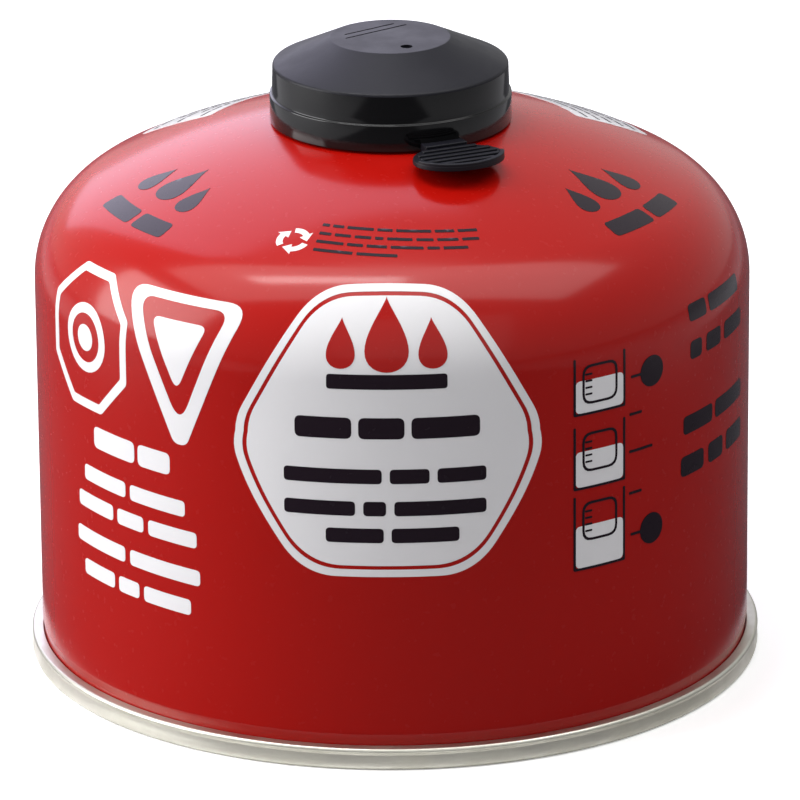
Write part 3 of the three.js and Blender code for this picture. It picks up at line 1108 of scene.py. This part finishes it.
def makeLeftPrint():
    left, right, low, high = leftPrint["signBox"]
    cut = leftPrint["signCut"]
    octagon = [
        (left + cut, low), (right - cut, low), (right, low + cut), (right, high - cut),
        (right - cut, high), (left + cut, high), (left, high - cut), (left, low + cut),
    ]
    shapes = [frameShape(octagon, leftPrint["signLine"], leftPrint["signRound"])]
    rings = [discLoop(*leftPrint["ringMiddle"], radius) for radius in leftPrint["ringRadii"]]
    shapes += [rings[:2], rings[2:]]
    triangles = [roundLoop(*triangle) for triangle in leftPrint["triangles"]]
    shapes += [triangles[:2], triangles[2:]]
    for row in leftPrint["rows"]:
        shapes += wordBars(*row)
    inkPiece("leftPrint", shapes, printWhite)


makeLeftPrint()

gauge = {
    "left": 27.4,
    "right": 35.8,
    "feet": (51.5, 40.2, 27.8),
    "levels": (4.9, 5.4, 6.4),
    "heights": (8.3, 9.2, 11.0),
    "canWidth": 6.2,
    "canHeight": 6.0,
    "line": 0.38,
    "discU": 41.5,
    "discs": (55.2, 31.0),
    "discRadius": 2.35,
    "dashHalf": 0.2,
    "dashes": [
        (37.3, 39.3, 55.2), (37.0, 39.4, 49.5), (37.0, 41.6, 43.8), (37.0, 39.4, 37.4), (37.3, 39.3, 31.0),
    ],
    "ticks": {"count": 4, "foot": 1.4, "pitch": 1.0, "thick": 0.3, "from": 0.5, "to": 1.7},
}


def makeGauge():
    white = []
    dark = []
    left, right, line = gauge["left"], gauge["right"], gauge["line"]
    ticks = gauge["ticks"]
    middle = (left + right) / 2
    half = gauge["canWidth"] / 2
    for foot, level, height in zip(gauge["feet"], gauge["levels"], gauge["heights"]):
        bowl = [(left, foot), (right, foot), (right, foot + level), (left, foot + level)]
        white.append([finer(softened(bowl, 0.8, 4))])
        wallTop = foot + height
        outline = [
            (left - line, wallTop), (left - line, foot - line),
            (right + line, foot - line), (right + line, wallTop),
            (right, wallTop), (right, foot), (left, foot), (left, wallTop),
        ]
        dark.append([finer(softened(outline, 0.25, 3))])
        canFoot = foot + 1.2 + (0 if height < 9 else height - 8.2)
        canTop = canFoot + gauge["canHeight"]
        frameOuter = boxLoop(middle - half, middle + half, canFoot, canTop, 1.6)
        frameInner = boxLoop(middle - half + line, middle + half - line, canFoot + line, canTop - line, 1.3)
        dark.append([frameOuter, frameInner])
        start, end = middle - half + ticks["from"], middle - half + ticks["to"]
        for k in range(ticks["count"]):
            v = canFoot + ticks["foot"] + ticks["pitch"] * k
            dark.append([boxLoop(start, end, v, v + ticks["thick"], 0.1)])
    for v in gauge["discs"]:
        dark.append([discLoop(gauge["discU"], v, gauge["discRadius"])])
    for u0, u1, v in gauge["dashes"]:
        dark.append([boxLoop(u0, u1, v - gauge["dashHalf"], v + gauge["dashHalf"], 0.1)])
    inkPiece("gaugeWhite", white, printWhite)
    inkPiece("gaugeDark", dark, printDark, ink["overLift"])


makeGauge()


darkWords = {
    "rows": [
        (50.4, 67.6, 60.2, 62.8, [3, 7], 0.6),
        (50.5, 69.0, 54.4, 57.2, [1.6, 2.4, 4], 0.7),
        (48.8, 69.5, 43.2, 46.0, [5, 7], 0.6),
        (48.2, 69.6, 36.8, 39.9, [3, 2.4, 3.6], 0.7),
    ],
    "small": {"start": -14.8, "height": 0.62, "gap": 0.9, "lean": -0.055},
    "smallRows": [
        (17.6, 85.2, [2, 3, 7, 4, 9, 5, 5]),
        (17.2, 83.3, [3, 4, 4, 2, 6, 4, 5, 4]),
        (14.4, 81.5, [7, 4, 5, 8, 3, 6]),
        (1.0, 79.7, [9, 9]),
    ],
    "dropMiddles": (-57.4, 54.6),
    "drops": [(0, 87.2, 7.2), (-8.6, 85.4, 5.2), (8.6, 85.4, 5.2)],
}


def makeDarkWords():
    shapes = []
    for row in darkWords["rows"]:
        shapes += wordBars(*row)
    # small print over the shoulder, beside the arrows
    small = darkWords["small"]
    for end, v, words in darkWords["smallRows"]:
        shapes += wordBars(small["start"], end, v, v + small["height"], words, small["gap"], small["lean"])
    # three plain drops over two bars on each side of the dome
    for u in darkWords["dropMiddles"]:
        shapes += [[dropLoop(u + aside, v, size)] for aside, v, size in darkWords["drops"]]
        shapes += wordBars(u - 10.5, u + 11.5, 76.4, 79.6, [5, 4], 0.6)
    inkPiece("darkPrint", shapes, printDark)


makeDarkWords()

# angles in radians
arrows = {
    "u": -19.4, "v": 81.6, "size": 3.0, "band": 0.95, "head": 1.05, "from": 0.32, "sweep": 1.12, "tip": 0.68,
}


def makeArrows():
    # three bent arrows in a ring, the common sign for recycling
    shapes = []
    stretch = can["wallRadius"] / canRadiusAt(arrows["v"])
    middle = arrows["size"] - arrows["band"]
    for k in range(3):
        start = turn * k / 3 + arrows["from"]
        end = start + arrows["sweep"]
        tip = end + arrows["tip"]
        polar = [(middle + arrows["band"] * 0.5, start + (end - start) * i / 8) for i in range(9)]
        polar += [(middle + arrows["head"], end), (middle, tip), (middle - arrows["head"], end)]
        polar += [(middle - arrows["band"] * 0.5, end - (end - start) * i / 8) for i in range(9)]
        loop = [
            (arrows["u"] + r * cos(-a) * stretch, arrows["v"] + r * sin(-a)) for r, a in polar
        ]
        shapes.append([loop[::-1]])
    inkPiece("arrowSign", shapes, printWhite)


makeArrows()

# places round the can are in degrees from the front
rear = {
    "panels": {
        "sides": (-132, 128), "half": 17, "low": 80.0, "high": 92.5, "rows": 5, "margin": 1.7, "pitch": 2.1,
        "bar": 0.45,
    },
    "blocks": {"sides": (-112, 180, 112), "half": 15, "low": 24, "rows": 9, "pitch": 4.0, "bar": 1.7},
}


def makeRearPrint():
    # white panels at the back of the dome, and plain text-like bars on the rear wall
    white = []
    dark = []
    look = rear["panels"]
    half = look["half"]
    for side in look["sides"]:
        u = radians(side) * can["wallRadius"]
        white.append([boxLoop(u - half, u + half, look["low"], look["high"], 1.5)])
        for k in range(look["rows"]):
            v = look["low"] + look["margin"] + look["pitch"] * k
            end = u + half - 2 - 6 * (k % 2)
            dark += wordBars(u - half + 2, end, v, v + look["bar"], [6, 4, 7, 3, 5, 2 + k], 1.2)
    look = rear["blocks"]
    half = look["half"]
    for side in look["sides"]:
        u = radians(side) * can["wallRadius"]
        for k in range(look["rows"]):
            v = look["low"] + look["pitch"] * k
            end = u + half - (5 if k % 3 == 2 else 0)
            white += wordBars(u - half, end, v, v + look["bar"], [7, 4, 8, 5 - k % 3], 0.8)
    inkPiece("rearWhite", white, printWhite)
    inkPiece("rearDark", dark, printDark, ink["overLift"])


makeRearPrint()
print("print made")


# floor, world and lamps; nearFloor and sideFloor are distances from the can's axis in millimetres
studio = {
    "floorSize": 3.0,
    "floorColour": (0.45, 0.45, 0.455),
    "floorSeen": (0.95, 0.95, 0.955),
    "paintedFarReflection": (0.08, 0.08, 0.085),
    # the far and side floor colours are seen only by glossy rays: painted dark and pale reflections
    "floorGlow": 0.3,
    "floorRoughness": 0.7,
    "floorSpecular": 0.1,
    "nearFloor": (57, 62),
    "sideFloor": (190, 215),
    "paintedSideReflection": (0.42, 0.42, 0.425),
    "worldFill": 0.2,
    "worldGloss": 0.6,
}
# a lamp without a colour is white
lamps = [
    {
        "name": "overhead", "place": (0.0, -0.05, 0.62), "aim": (0.0, -0.04, 0), "size": (1.15, 0.4),
        "power": 4.4,
    },
    {
        "name": "leftBox", "place": (-0.62, -0.06, 0.25), "aim": (0, 0, 0.05), "size": (0.48, 0.44),
        "power": 4.6,
    },
    {
        "name": "backSheet", "place": (-0.34, 1.05, 0.8), "aim": (0, 0, 0.07), "size": (0.95, 1.25),
        "power": 7.2, "colour": (0.78, 0.75, 1.0),
    },
    {
        "name": "frontFill", "place": (0.15, -1.0, 0.6), "aim": (0, 0, 0.05), "size": (1.2, 0.8),
        "power": 1.5,
    },
    {
        "name": "shoulderStrip", "place": (-0.13, -0.02, 0.6), "aim": (-0.13, -0.02, 0), "size": (0.3, 0.07),
        "power": 0.85,
    },
]


def largest(nodes, links, first, second):
    either = nodes.new("ShaderNodeMath")
    either.operation = "MAXIMUM"
    links.new(first, either.inputs[0])
    links.new(second, either.inputs[1])
    return either.outputs["Value"]


def makeFloor():
    mesh = bmesh.new()
    half = studio["floorSize"] / 2
    corners = [mesh.verts.new((x * half, y * half, 0)) for x, y in ((-1, -1), (1, -1), (1, 1), (-1, 1))]
    mesh.faces.new(corners)
    floor = meshObject("floor", mesh)
    material, nodes, links, bsdf = newFinish("floorPale")
    path = nodes.new("ShaderNodeLightPath")
    # for glossy rays only, the floor is painted pale round the can's foot, dark further out and paler at both
    # sides:
    # painted reflections, so the seam mirrors pale, the lacquer dark and the cap's skirt pale
    where = nodes.new("ShaderNodeTexCoord")
    reach = nodes.new("ShaderNodeVectorMath")
    reach.operation = "LENGTH"
    links.new(where.outputs["Object"], reach.inputs[0])
    nearLow, nearHigh = studio["nearFloor"]
    far = ranged(nodes, links, reach.outputs["Value"], 0, 1, nearLow * mm, nearHigh * mm)
    split = nodes.new("ShaderNodeSeparateXYZ")
    links.new(where.outputs["Object"], split.inputs["Vector"])
    aside = nodes.new("ShaderNodeMath")
    aside.operation = "ABSOLUTE"
    links.new(split.outputs["X"], aside.inputs[0])
    sideLow, sideHigh = studio["sideFloor"]
    side = ranged(nodes, links, aside.outputs["Value"], 0, 1, sideLow * mm, sideHigh * mm)
    mirrored = blended(nodes, links, far, studio["floorSeen"], studio["paintedFarReflection"])
    mirrored = blended(nodes, links, side, mirrored, studio["paintedSideReflection"])
    glossy = largest(nodes, links, path.outputs["Is Glossy Ray"], path.outputs["Is Transmission Ray"])
    colour = blended(nodes, links, glossy, studio["floorColour"], mirrored)
    colour = blended(nodes, links, path.outputs["Is Camera Ray"], colour, studio["floorSeen"])
    glow = nodes.new("ShaderNodeMath")
    glow.operation = "MULTIPLY"
    glow.inputs[1].default_value = studio["floorGlow"]
    links.new(path.outputs["Is Camera Ray"], glow.inputs[0])
    links.new(glow.outputs["Value"], bsdf.inputs["Emission Strength"])
    links.new(colour, bsdf.inputs["Base Color"])
    setInputs(bsdf, {
        "Emission Color": (1, 1, 1, 1),
        "Roughness": studio["floorRoughness"],
        "Specular IOR Level": studio["floorSpecular"],
    })
    floor.data.materials.append(material)


def makeWorld():
    world = bpy.data.worlds.new("studioWorld")
    scene.world = world
    world.use_nodes = True
    nodes = world.node_tree.nodes
    links = world.node_tree.links
    background = nodes["Background"]
    setInputs(background, {"Color": (1, 1, 1, 1)})
    path = nodes.new("ShaderNodeLightPath")
    strength = studio["worldFill"]
    for ray, seen in (
        ("Is Glossy Ray", studio["worldGloss"]), ("Is Transmission Ray", 1.0), ("Is Camera Ray", 1.0),
    ):
        mix = nodes.new("ShaderNodeMix")
        mix.data_type = "FLOAT"
        if isinstance(strength, float):
            mix.inputs["A"].default_value = strength
        else:
            links.new(strength, mix.inputs["A"])
        mix.inputs["B"].default_value = seen
        links.new(path.outputs[ray], mix.inputs["Factor"])
        strength = mix.outputs["Result"]
    links.new(strength, background.inputs["Strength"])


def makeLamps():
    for lamp in lamps:
        data = bpy.data.lights.new(lamp["name"], "AREA")
        data.shape = "RECTANGLE"
        data.size, data.size_y = lamp["size"]
        data.energy = lamp["power"]
        data.color = lamp.get("colour", (1, 1, 1))
        light = bpy.data.objects.new(lamp["name"], data)
        scene.collection.objects.link(light)
        light.location = lamp["place"]
        way = Vector(lamp["aim"]) - Vector(lamp["place"])
        light.rotation_euler = way.to_track_quat("-Z", "Y").to_euler()


makeFloor()
makeWorld()
makeLamps()
scene.view_settings.view_transform = "Standard"
print("studio made")
